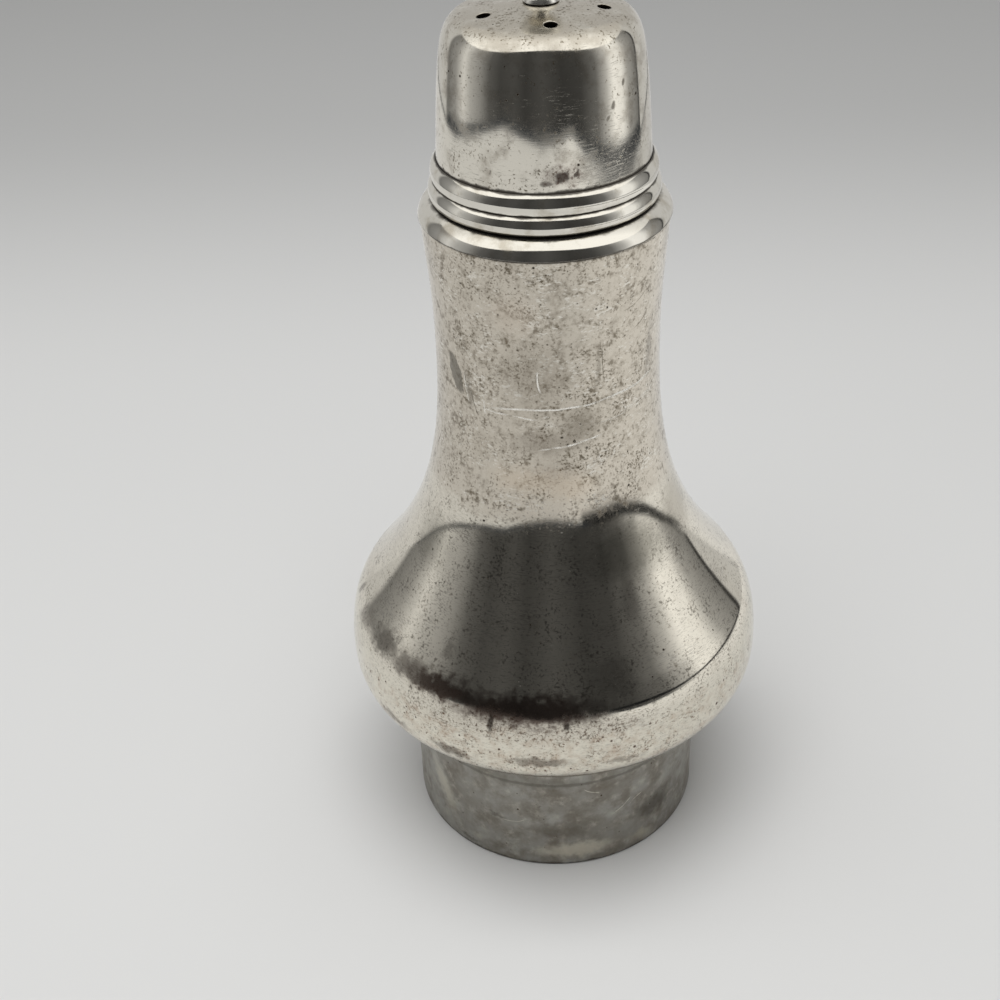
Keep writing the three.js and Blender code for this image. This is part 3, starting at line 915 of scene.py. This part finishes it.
@dataclass
class Studio:
    """The pale table, the soft lights, the dim side of the room that silver mirrors, and the camera."""

    floor_reach: float = 6000
    floor_drop: float = 0.02
    floor_tones: tuple[str, str] = ("#dddddc", "#c6c6c5")
    floor_fall: tuple[float, float] = (90, 225)
    lamp_height: float = 520
    lamp_width: float = 420
    lamp_place: tuple[float, float] = (-45, -100)
    lamp_level: float = 3.95
    world_level: float = 0.36
    panel_height: float = 600
    panel_level: float = 1.17
    panel_back: float = 350
    panel_back_share: float = 0.65
    room_radius: float = 420
    room_foot: float = -220
    room_middle: float = 80
    room_front: float = 50
    room_side: float = 27
    room_back: float = 39
    room_steps: int = 120
    room_glow: tuple[tuple[float, float], ...] = (
        (-180, 0.66), (-125, 0.64), (-121, 0.22), (-105, 0.36), (-92, 0.80), (-82, 0.50), (-70, 0.33),
        (-58, 0.12), (-45, 0.065), (-30, 0.08), (-18, 0.05), (0, 0.08), (20, 0.045), (40, 0.06),
        (58, 0.17), (70, 0.55), (80, 1.15), (92, 1.05), (102, 0.45), (114, 0.28), (118.5, 0.24),
        (119, 0.03), (121, 0.03), (121.5, 0.66), (180, 0.66))
    sheet_reach: float = 410
    sheet_flat: float = 150
    sheet_lit: tuple[float, float] = (30, 110)
    sheet_glow: float = 0.68
    sheet_right: tuple[float, float] = (20, 120)
    sheet_right_share: float = 1.25
    sheet_back: tuple[float, float] = (280, 350)
    sheet_back_share: float = 0.85
    sheet_rim: tuple[tuple[float, float], ...] = (
        (-180, -30), (-121, -44), (-105, -42), (-88, -34), (-63, -20), (-41, -8), (-24, -14), (-3, -20),
        (17, -18), (28, -14), (43, -32), (62, -42), (80, -48), (103, -54), (121, -54), (180, -30))
    sheet_sides: int = 120
    sheet_rings: int = 8
    sheet_droop: float = 1.5
    shade_level: float = 0.08
    shade_reach: float = 1.01
    shade_rise: tuple[tuple[float, float], ...] = (
        (-180, 0), (-122, 0), (-118, 7), (-60, 7), (-40, 9), (30, 9), (118, 8), (122, 0), (180, 0))
    strip_reach: float = 130
    strip_level: float = 0.015
    strip: tuple[tuple[float, float, float], ...] = (
        (23, 25.2, 25.2), (27, 22.6, 27.2), (36, 20.9, 27.2), (43, 19.3, 26.3), (51, 17.0, 24.0),
        (59, 15.0, 20.5), (67, 14.2, 19.3), (75, 13.5, 18.5), (91, 12.6, 17.5), (99, 12.0, 16.5),
        (106, 11.0, 14.5), (114, 9.0, 11.5), (118, 8.5, 9.0))
    camera_place: tuple[float, float, float] = (0, -130.777, 129.898)
    camera_pan: float = -2.351
    camera_tilt: float = 34.819
    camera_roll: float = -2.445
    camera_lens: float = 54
    camera_sensor: float = 36

    def build(self) -> None:
        """Builds the whole studio."""
        self.world()
        self.floor()
        self.sheet()
        self.room()
        self.near_strip()
        self.panel()
        self.lamp()
        self.camera()

    def world(self) -> None:
        """Sets the even pale surroundings."""
        world = bpy.data.worlds.new("pale_surroundings")
        bpy.context.scene.world = world
        world.use_nodes = True
        tree = world.node_tree
        tree.nodes.clear()
        pale = add(tree, "Background", {"Color": linear("#f6f6f5"), "Strength": self.world_level})
        add(tree, "OutputWorld", {"Surface": pale})

    def bare(self, name: str) -> bpy.types.Material:
        """Makes a material with no nodes yet.

        Args:
            name: Its name.

        Returns:
            The empty material.
        """
        made = bpy.data.materials.new(name)
        made.use_nodes = True
        made.node_tree.nodes.clear()
        return made

    def axes(self, tree: bpy.types.NodeTree) -> tuple[bpy.types.NodeSocket, Mapping]:
        """Gives the place on a surface of the studio, whole and split into its X, Y and Z."""
        place = add(tree, "TexCoord").outputs["Object"]
        return place, add(tree, "SeparateXYZ", {"Vector": place}).outputs

    def sheet_of(self, name: str, corners: Sequence[Sequence[float]], faces: Sequence[Sequence[int]],
                 finish: bpy.types.Material, mirrored_only: bool) -> None:
        """Puts one flat or bent surface of the studio in place.

        Args:
            name: Its name.
            corners: Its corners in millimetres.
            faces: The corners of each face, by number.
            finish: Its material.
            mirrored_only: Whether it is there for the silver's reflections alone.
        """
        data = bpy.data.meshes.new(name)
        data.from_pydata([tuple(part * MM for part in corner) for corner in corners], [], faces)
        data.materials.append(finish)
        made = bpy.data.objects.new(name, data)
        bpy.context.scene.collection.objects.link(made)
        if mirrored_only:
            made.visible_camera = False
            made.visible_diffuse = False
            made.visible_shadow = False
            made.visible_transmission = False
        else:
            made.visible_glossy = False

    def level_sheet(self, name: str, height: float, finish: bpy.types.Material,
                    mirrored_only: bool) -> None:
        """Lays a level surface that reaches out of sight.

        Args:
            name: Its name.
            height: Its height in millimetres.
            finish: Its material.
            mirrored_only: Whether it is there for the silver's reflections alone.
        """
        reach = self.floor_reach
        corners = [(-reach, -reach, height), (reach, -reach, height), (reach, reach, height),
                   (-reach, reach, height)]
        self.sheet_of(name, corners, [(0, 1, 2, 3)], finish, mirrored_only)

    def ribbon(self, name: str, corners: Sequence[Sequence[float]], finish: bpy.types.Material) -> None:
        """Stands an upright ribbon in place for the silver's reflections.

        Args:
            name: Its name.
            corners: Its corners in millimetres, a lower and an upper one in turn along it.
            finish: Its material.
        """
        faces = [(s, s + 2, s + 3, s + 1) for s in range(0, len(corners) - 2, 2)]
        self.sheet_of(name, corners, faces, finish, True)

    def floor(self) -> None:
        """Lays the table that the camera sees, which falls into shade towards its far side."""
        finish = self.bare("table_white_matt")
        tree = finish.node_tree
        _, part = self.axes(tree)
        near, far = self.floor_fall
        shade = add(tree, "MapRange", {"Value": part["Y"], "From Min": near * MM, "From Max": far * MM},
                    interpolation_type="SMOOTHSTEP")
        lit, dim = (linear(code) for code in self.floor_tones)
        tone = add(tree, "Mix", {0: shade, 6: lit, 7: dim}, data_type="RGBA")
        shader = add(tree, "BsdfDiffuse", {"Color": tone.outputs[2]})
        add(tree, "OutputMaterial", {"Surface": shader})
        self.level_sheet("table", -self.floor_drop, finish, False)

    def sheet(self) -> None:
        """Lays the pale sheet that the silver mirrors, which droops to its edge as the reflections show."""
        sides, rings = self.sheet_sides, self.sheet_rings
        corners = []
        for ring in range(rings + 1):
            reach = self.sheet_flat + (self.sheet_reach - self.sheet_flat) * ring / rings
            droop = (ring / rings) ** self.sheet_droop
            for side in range(sides):
                turn = 360 * side / sides - 180
                rim = np.interp(turn, *zip(*self.sheet_rim))
                corners.append((reach * sin(radians(turn)), -reach * cos(radians(turn)), rim * droop))
        faces = [(r * sides + s, r * sides + (s + 1) % sides, (r + 1) * sides + (s + 1) % sides,
                  (r + 1) * sides + s) for r in range(rings) for s in range(sides)]
        faces.append(tuple(range(sides)))
        self.sheet_of("sheet", corners, faces, self.sheet_light(), True)

    def sheet_light(self) -> bpy.types.Material:
        """Makes the sheet's finish: matt at the shaker's foot, where its shade falls, and glowing further
        out.

        Returns:
            The finish, its glow a painted light: brighter to the right and dimmer at the back on that side.
        """
        made = self.bare("sheet_white_glowing")
        tree = made.node_tree
        place, part = self.axes(tree)
        away = add(tree, "VectorMath", {0: place}, operation="LENGTH")
        lit = add(tree, "MapRange", {"Value": away.outputs["Value"], "From Min": self.sheet_lit[0] * MM,
                                     "From Max": self.sheet_lit[1] * MM},
                  interpolation_type="SMOOTHSTEP")
        right = add(tree, "MapRange", {"Value": part["X"], "From Min": self.sheet_right[0] * MM,
                                       "From Max": self.sheet_right[1] * MM},
                    interpolation_type="SMOOTHSTEP")
        back = add(tree, "VectorMath", {0: place, 1: (1, 2, 0)}, operation="DOT_PRODUCT")
        side = add(tree, "MapRange", {"Value": back.outputs["Value"],
                                      "From Min": self.sheet_back[0] * MM,
                                      "From Max": self.sheet_back[1] * MM,
                                      "To Min": self.sheet_glow * self.sheet_right_share,
                                      "To Max": self.sheet_glow * self.sheet_back_share},
                   interpolation_type="SMOOTHSTEP")
        level = add(tree, "Mix", {0: right, 2: self.sheet_glow, 3: side})
        matt = add(tree, "BsdfDiffuse", {"Color": linear("#dddddb")})
        # Painted light: the glow stands in for lamp light on the sheet, brighter to the right and dimmer
        # behind
        glow = add(tree, "Emission", {"Color": linear("#fbfaf8"), "Strength": level})
        both = add(tree, "MixShader", {0: lit, 1: matt, 2: glow})
        add(tree, "OutputMaterial", {"Surface": both})
        return made

    def room(self) -> None:
        """Stands the room's walls round the table, low at the sides, and the shade behind the sheet."""
        walls, shade = [], []
        for step in range(self.room_steps + 1):
            turn = 360 * step / self.room_steps - 180
            ahead = cos(radians(turn))
            end = self.room_front if ahead > 0 else self.room_back
            rise = self.room_side + (end - self.room_side) * ahead ** 2
            top = self.room_middle + self.room_radius * tan(radians(rise))
            rim = np.interp(turn, *zip(*self.sheet_rim))
            foot = rim + np.interp(turn, *zip(*self.shade_rise))
            side = np.array([sin(radians(turn)), -ahead])
            walls += [(*side * self.room_radius, foot), (*side * self.room_radius, top)]
            behind = side * self.room_radius * self.shade_reach
            shade += [(*behind, self.room_foot), (*behind, self.room_middle)]
        self.ribbon("room", walls, self.room_light())
        self.ribbon("shade", shade, self.dim("shade_blue_grey", self.shade_level))

    def near_strip(self) -> None:
        """Stands the dark strip near the shaker on its right, which the belly mirrors at its shoulder."""
        corners = []
        for turn, low, high in self.strip:
            side = np.array([sin(radians(turn)), -cos(radians(turn))]) * self.strip_reach
            corners += [(*side, low), (*side, high)]
        self.ribbon("near_strip", corners, self.dim("strip_black", self.strip_level))

    def glow(self, made: bpy.types.Material, code: str, level: Feed) -> bpy.types.Material:
        """Makes a material glow in one colour.

        Args:
            made: The material.
            code: Its colour as an sRGB hex value.
            level: How strongly it glows, which may vary over it.

        Returns:
            The same material.
        """
        lit = add(made.node_tree, "Emission", {"Color": linear(code), "Strength": level})
        add(made.node_tree, "OutputMaterial", {"Surface": lit})
        return made

    def dim(self, name: str, level: float) -> bpy.types.Material:
        """Makes a dim bluish finish for what lies in shade."""
        return self.glow(self.bare(name), "#aeb6c2", level)

    def room_light(self) -> bpy.types.Material:
        """Makes the walls' glow: dim in front, pale behind, and bright at both sides above the table.

        Returns:
            The finish.
        """
        made = self.bare("room_light")
        tree = made.node_tree
        _, part = self.axes(tree)
        front = add(tree, "Math", {0: part["Y"], 1: -1.0}, operation="MULTIPLY")
        turn = add(tree, "Math", {0: part["X"], 1: front}, operation="ARCTAN2")
        around = add(tree, "MapRange", {"Value": turn, "From Min": -pi, "From Max": pi})
        ramp = add(tree, "ValToRGB", {"Fac": around})
        stops = ramp.color_ramp.elements
        for stop, (_, level) in zip(stops, (self.room_glow[0], self.room_glow[-1])):
            stop.color = (level, level, level, 1)
        for angle, level in self.room_glow[1:-1]:
            stops.new(angle / 360 + 0.5).color = (level, level, level, 1)
        return self.glow(made, "#f1f0ee", ramp.outputs["Color"])

    def panel(self) -> None:
        """Hangs the broad diffuser that the silver mirrors overhead, a little dimmer behind."""
        made = self.bare("diffuser")
        tree = made.node_tree
        _, part = self.axes(tree)
        level = add(tree, "MapRange", {"Value": part["Y"], "From Min": 0.0,
                                       "From Max": self.panel_back * MM, "To Min": self.panel_level,
                                       "To Max": self.panel_level * self.panel_back_share})
        self.glow(made, "#fdfbf7", level)
        self.level_sheet("diffuser", self.panel_height, made, True)

    def lamp(self) -> None:
        """Hangs the soft lamp that lights the table."""
        width = self.lamp_width * MM
        light = bpy.data.lights.new("overhead", "AREA")
        light.shape = "SQUARE"
        light.size = width
        light.energy = self.lamp_level * pi * width ** 2
        made = bpy.data.objects.new("overhead", light)
        made.location = (self.lamp_place[0] * MM, self.lamp_place[1] * MM, self.lamp_height * MM)
        made.visible_camera = False
        made.visible_glossy = False
        bpy.context.scene.collection.objects.link(made)

    def camera(self) -> None:
        """Stands the camera where the photograph was taken from."""
        data = bpy.data.cameras.new("photo_camera")
        data.sensor_width = self.camera_sensor
        data.lens = self.camera_lens
        pan, tilt, roll = radians(self.camera_pan), radians(self.camera_tilt), radians(self.camera_roll)
        ahead = Vector((sin(pan) * cos(tilt), cos(pan) * cos(tilt), -sin(tilt)))
        level = ahead.cross(Vector((0, 0, 1))).normalized()
        upright = level.cross(ahead)
        right = cos(roll) * level + sin(roll) * upright
        above = -sin(roll) * level + cos(roll) * upright
        made = bpy.data.objects.new("photo_camera", data)
        turn = Matrix((right, above, -ahead)).transposed().to_4x4()
        made.matrix_world = Matrix.Translation(Vector(self.camera_place) * MM) @ turn
        bpy.context.scene.collection.objects.link(made)
        bpy.context.scene.camera = made


def dress(piece: bpy.types.Object, finish: Plate, body: Body, *nodes: str) -> None:
    """Gives a piece its finish and seats it on its body.

    Args:
        piece: The new piece.
        finish: What it is made of.
        body: The body that it moves with.
        nodes: The frame's nodes that it stands for.
    """
    piece.data.materials.append(finish.material())
    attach(piece, body.value)
    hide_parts(*nodes)
    log.info("%s: %d faces, %s", piece.name, len(piece.data.polygons), finish.name)


def box(node: str) -> tuple[Vector, Vector]:
    """Gives a node's lowest and highest corner in millimetres."""
    low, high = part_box(node)
    return low / MM, high / MM


@dataclass
class BodyWork:
    """The foot, the spun body and the collar."""

    wall: float = 0.7
    dome_rise: float = 0.8
    dome_handle: float = 0.33
    seat_width: float = 2.0
    underside_angle: float = 39
    underside_handle: float = 3.8
    belly_rise: float = 6.9
    belly_fullness: float = 0.66
    shoulder_radius: float = 20.2
    shoulder_rise: float = 7.4
    shoulder_angle: float = 49
    shoulder_fullness: float = 0.36
    sweep_fullness: float = 0.44
    waist_radius: float = 11.05
    waist_rise: float = 29.8
    waist_fullness: float = 0.34
    neck_fullness: float = 0.4
    lip_flare: float = 0.7
    lip_angle: float = 3.7
    foot_wall: float = 0.8
    foot_rim_width: float = 1.6
    foot_rim_height: float = 1.2
    foot_edge: float = 0.3
    collar_overhang: float = 0.2
    collar_round: float = 2.07
    collar_round_start: float = 8
    collar_wall: float = 0.6
    sleeve_gap: float = 0.1
    lip_gap: float = 0.05
    lead_in: float = 0.25
    sheet_ease: float = 0.12
    collar_ease: float = 0.06

    def outside(self) -> Profile:
        """Draws the body's outside from the domed base up to the lip.

        Returns:
            The open outline.
        """
        foot = box("foot_ring")[1]
        low, high = box("body_shell")
        up = np.array([0.0, 1.0])
        under = radians(self.underside_angle)
        out = np.array([cos(under), sin(under)])
        slope = radians(self.shoulder_angle)
        along = np.array([-cos(slope), sin(slope)])
        lean = radians(self.lip_angle)
        lip_along = np.array([sin(lean), cos(lean)])
        base = low.z
        edge = np.array([foot.x - self.foot_wall - self.seat_width, base])
        top = np.array([0.0, base + self.dome_rise])
        corner = np.array([foot.x, base])
        belly = np.array([high.x, base + self.belly_rise])
        shoulder = np.array([self.shoulder_radius, belly[1] + self.shoulder_rise])
        waist = np.array([self.waist_radius, shoulder[1] + self.waist_rise])
        lip = np.array([self.waist_radius + self.lip_flare, high.z])
        crest = np.array([edge[0] / 2, top[1]])
        dome = [end * self.dome_handle + crest * (1 - self.dome_handle) for end in (top, edge)]
        shoulder_handle = self.shoulder_rise * self.shoulder_fullness
        neck_handle = (lip[1] - waist[1]) * self.neck_fullness
        return joined(
            bezier(top, *dome, edge, 16),
            corner,
            bezier(corner, corner + out * self.underside_handle,
                   belly - up * self.belly_rise * self.belly_fullness, belly, 40),
            bezier(belly, belly + up * shoulder_handle, shoulder - along * shoulder_handle, shoulder, 40),
            bezier(shoulder, shoulder + along * self.waist_rise * self.sweep_fullness,
                   waist - up * self.waist_rise * self.waist_fullness, waist, 60),
            bezier(waist, waist + up * neck_handle, lip - lip_along * neck_handle, lip, 24),
        )

    def build(self) -> None:
        """Builds the three fixed pieces."""
        self.body_shell()
        self.foot_ring()
        self.neck_collar()

    def body_shell(self) -> None:
        """Turns the spun sheet, outside and inside."""
        outside = self.outside()
        inside = inside_of(outside, self.wall)
        inside[0, 0] = 0
        inside[-1] = (outside[-1][0] - self.wall, outside[-1][1])
        piece = turned("spun_body", eased(joined(outside, inside[::-1]), self.sheet_ease))
        dress(piece, SpunBody(), Body.BODY, "body_shell")

    def foot_ring(self) -> None:
        """Turns the straight foot with its rim folded inwards."""
        low, high = box("foot_ring")
        radius = high.x
        outline = joined(
            (radius - self.foot_rim_width, low.z),
            arc((radius - self.foot_edge, self.foot_edge), self.foot_edge, self.foot_edge, -90, 0, 6),
            (radius, high.z),
            (radius - self.foot_wall, high.z),
            (radius - self.foot_wall, self.foot_rim_height + self.foot_rim_width - self.foot_wall),
            (radius - self.foot_rim_width, self.foot_rim_height),
        )
        piece = turned("collet_foot", eased(outline, self.sheet_ease))
        dress(piece, DullFoot(), Body.BODY, "foot_ring")

    def neck_collar(self) -> None:
        """Turns the round of the collar with its skirt inside the neck."""
        low, high = box("neck_collar")
        lip = box("body_shell")[1].z
        lip_radius = self.waist_radius + self.lip_flare
        skirt = box("cap_sleeve")[1].x + self.sleeve_gap + self.collar_wall
        bore = skirt - self.collar_wall
        ledge = lip + self.lip_gap
        reach = self.collar_round * cos(radians(self.collar_round_start))
        centre = (lip_radius + self.collar_overhang - reach, high.z - self.collar_round)
        outline = joined(
            (bore, low.z),
            (skirt, low.z),
            (skirt, ledge),
            (lip_radius, ledge),
            arc(centre, self.collar_round, self.collar_round, self.collar_round_start, 90, 24),
            (bore + self.lead_in, high.z),
            (bore, high.z - self.lead_in),
        )
        piece = turned("neck_round", eased(outline, self.collar_ease, ROUND_LIMIT))
        # Grime and painted shade at the ledge on the neck and under the lower wire
        finish = Plate("silver_plate_bright_collar",
                       seams=((ledge, 0.16, 0.8), (high.z, 0.3, 0.9)))
        dress(piece, finish, Body.BODY, "neck_collar")


@dataclass(frozen=True)
class Wire:
    """One wire round the cap's base: the round that its outside is drawn to, and where that starts."""

    node: str
    name: str
    depth: float
    radius: float
    start: float


@dataclass
class CapWork:
    """The cap with its wires, sleeve and finial."""

    wall: float = 0.6
    wall_rise: float = 9.3
    taper: float = 0.73
    foot_lean: float = 4
    shoulder_lean: float = 7.6
    shoulder_inset: float = 2.2
    shoulder_handle: float = 1.4
    crown_handle: float = 1.75
    crown_rise: float = 4.33
    cap_ease: float = 0.1
    crown_radius: float = 35.6
    wires: tuple[Wire, ...] = (Wire("cap_lower_wire", "lower_wire", 0.91, 1.37, -26.7),
                               Wire("cap_upper_wire", "upper_wire", 0.62, 1.6, -25.2))
    wire_gap: float = 0.05
    wire_ease: float = 0.06
    sleeve_wall: float = 0.5
    sleeve_ease: float = 0.08
    sleeve_lead_in: float = 0.3
    hole_count: int = 5
    hole_sides: int = 48
    hole_diameter: float = 1.25
    hole_circle: float = 5.5
    hole_turn: float = 8.1
    peg_hole: float = 0.8
    finial_base_radius: float = 1.62
    finial_base_round: float = 1.45
    finial_base_start: float = 12
    finial_neck_radius: float = 0.8
    finial_neck_height: float = 0.7
    finial_ball_radius: float = 2.2
    peg_radius: float = 0.75
    peg_head_radius: float = 1.2
    peg_head_height: float = 0.35
    finial_ease: float = 0.06
    finial_sides: int = 128

    def build(self) -> None:
        """Builds the five pieces that lift off together."""
        self.cap_shell()
        for wire in self.wires:
            self.wire(wire)
        self.sleeve()
        self.finial()

    def cap_shell(self) -> None:
        """Turns the drawn cap and drills its holes."""
        low, high = box("cap_shell")
        foot_height = box("cap_upper_wire")[1].z
        radius = high.x
        shoulder = np.array([radius - self.taper, foot_height + self.wall_rise])
        crown_top = shoulder[1] + self.crown_rise
        tilt = asin((shoulder[0] - self.shoulder_inset) / self.crown_radius)
        peg_tilt = asin(self.peg_hole / self.crown_radius)
        centre = (0.0, crown_top - self.crown_radius)
        edge = np.array([self.crown_radius * sin(tilt), centre[1] + self.crown_radius * cos(tilt)])
        wall_foot = np.array([radius, foot_height])
        foot_lean, lean = radians(self.foot_lean), radians(self.shoulder_lean)
        along_foot = np.array([-sin(foot_lean), cos(foot_lean)])
        along_shoulder = np.array([-sin(lean), cos(lean)])
        along_crown = np.array([-cos(tilt), sin(tilt)])
        outside = joined(
            (radius, low.z),
            bezier(wall_foot, wall_foot + along_foot * self.wall_rise / 3,
                   shoulder - along_shoulder * self.wall_rise / 3, shoulder, 30),
            bezier(shoulder, shoulder + along_shoulder * self.shoulder_handle,
                   edge - along_crown * self.crown_handle, edge, 48),
            arc(centre, self.crown_radius, self.crown_radius, 90 - degrees(tilt),
                90 - degrees(peg_tilt), 24),
        )
        inside = inside_of(outside, self.wall)
        inside[0] = (radius - self.wall, low.z)
        inside[-1, 0] = self.peg_hole
        piece = turned("drilled_cap", eased(joined(outside, inside[::-1]), self.cap_ease))
        self.drill(piece, crown_top)
        # Grime and painted shade where the cap wall meets the upper wire
        finish = DrawnCap(seams=((foot_height, 0.35, 0.9),), crown_centre=centre[1],
                          crown_radius=self.crown_radius)
        dress(piece, finish, Body.CAP, "cap_shell")

    def drill(self, cap: bpy.types.Object, crown_top: float) -> None:
        """Drills the sprinkling holes through the crown.

        Args:
            cap: The undrilled cap.
            crown_top: The height of the crown's curve on the axis in millimetres.
        """
        cutters = bmesh.new()
        hole = self.hole_diameter / 2
        for index in range(self.hole_count):
            turn = radians(self.hole_turn) + 2 * pi * index / self.hole_count
            place = Matrix.Translation(Vector((self.hole_circle * sin(turn),
                                               -self.hole_circle * cos(turn), crown_top)) * MM)
            bmesh.ops.create_cone(cutters, cap_ends=True, segments=self.hole_sides, radius1=hole * MM,
                                  radius2=hole * MM, depth=self.crown_rise * 2 * MM, matrix=place)
        drills = meshed("drills", cutters)
        cut = cap.modifiers.new("drill", "BOOLEAN")
        cut.operation = "DIFFERENCE"
        cut.solver = "EXACT"
        cut.object = drills
        shape = bpy.context.evaluated_depsgraph_get()
        data = bpy.data.meshes.new_from_object(cap.evaluated_get(shape))
        cap.modifiers.clear()
        cap.data = data
        bpy.data.objects.remove(drills)

    def wire(self, wire: Wire) -> None:
        """Turns one of the wires round the cap's base.

        Args:
            wire: Which one it is, and its round.
        """
        low, high = box(wire.node)
        cap_radius = box("cap_shell")[1].x
        inside = cap_radius + self.wire_gap
        drop = wire.radius * sin(radians(wire.start))
        centre = (cap_radius + wire.depth - wire.radius, low.z - drop)
        finish_angle = degrees(asin((high.z - centre[1]) / wire.radius))
        outline = joined(
            (inside, low.z),
            arc(centre, wire.radius, wire.radius, wire.start, finish_angle, 32),
            (inside, high.z),
        )
        # Grime and painted shade along both edges of the wire
        finish = Plate("silver_plate_" + wire.name, seams=((low.z, 0.2, 0.95), (high.z, 0.16, 0.85)))
        piece = turned(wire.name, eased(outline, self.wire_ease, ROUND_LIMIT))
        dress(piece, finish, Body.CAP, wire.node)

    def sleeve(self) -> None:
        """Turns the tube that plugs into the collar."""
        low, high = box("cap_sleeve")
        radius = high.x
        bore = radius - self.sleeve_wall
        outline = joined(
            (bore, low.z),
            (radius - self.sleeve_lead_in, low.z),
            (radius, low.z + self.sleeve_lead_in),
            (radius, high.z),
            (bore, high.z),
        )
        piece = turned("plug_sleeve", eased(outline, self.sleeve_ease))
        dress(piece, SatinSleeve(), Body.CAP, "cap_sleeve")

    def finial(self) -> None:
        """Turns the cast finial with its peened peg."""
        low, high = box("finial")
        ball = self.finial_ball_radius
        tilt = asin(self.finial_neck_radius / ball)
        ball_centre = (0.0, high.z - ball)
        neck_top = ball_centre[1] - ball * cos(tilt)
        start = radians(self.finial_base_start)
        across = self.finial_base_radius - self.finial_base_round * cos(start)
        end = acos((self.finial_neck_radius - across) / self.finial_base_round)
        middle = neck_top - self.finial_neck_height - self.finial_base_round * sin(end)
        base = middle + self.finial_base_round * sin(start)
        head_top = low.z + self.peg_head_height
        outline = joined(
            (0, low.z),
            (self.peg_head_radius, low.z),
            (self.peg_head_radius, head_top),
            (self.peg_radius, head_top),
            (self.peg_radius, base),
            arc((across, middle), self.finial_base_round, self.finial_base_round,
                self.finial_base_start, degrees(end), 20),
            arc(ball_centre, ball, ball, degrees(tilt) - 90, 90, 40),
        )
        outline[-1, 0] = 0
        # Grime and painted shade at the finial's foot
        finish = CastFinial(seams=((base, 0.12, 0.4),))
        piece = turned("ball_finial", eased(outline, self.finial_ease), self.finial_sides)
        dress(piece, finish, Body.CAP, "finial")


def main() -> None:
    """Builds the studio and every piece."""
    logging.basicConfig(level=logging.INFO, format="%(name)s: %(message)s")
    bpy.context.scene.view_settings.view_transform = "Standard"
    Studio().build()
    BodyWork().build()
    CapWork().build()


if __name__ == "__main__":
    main()
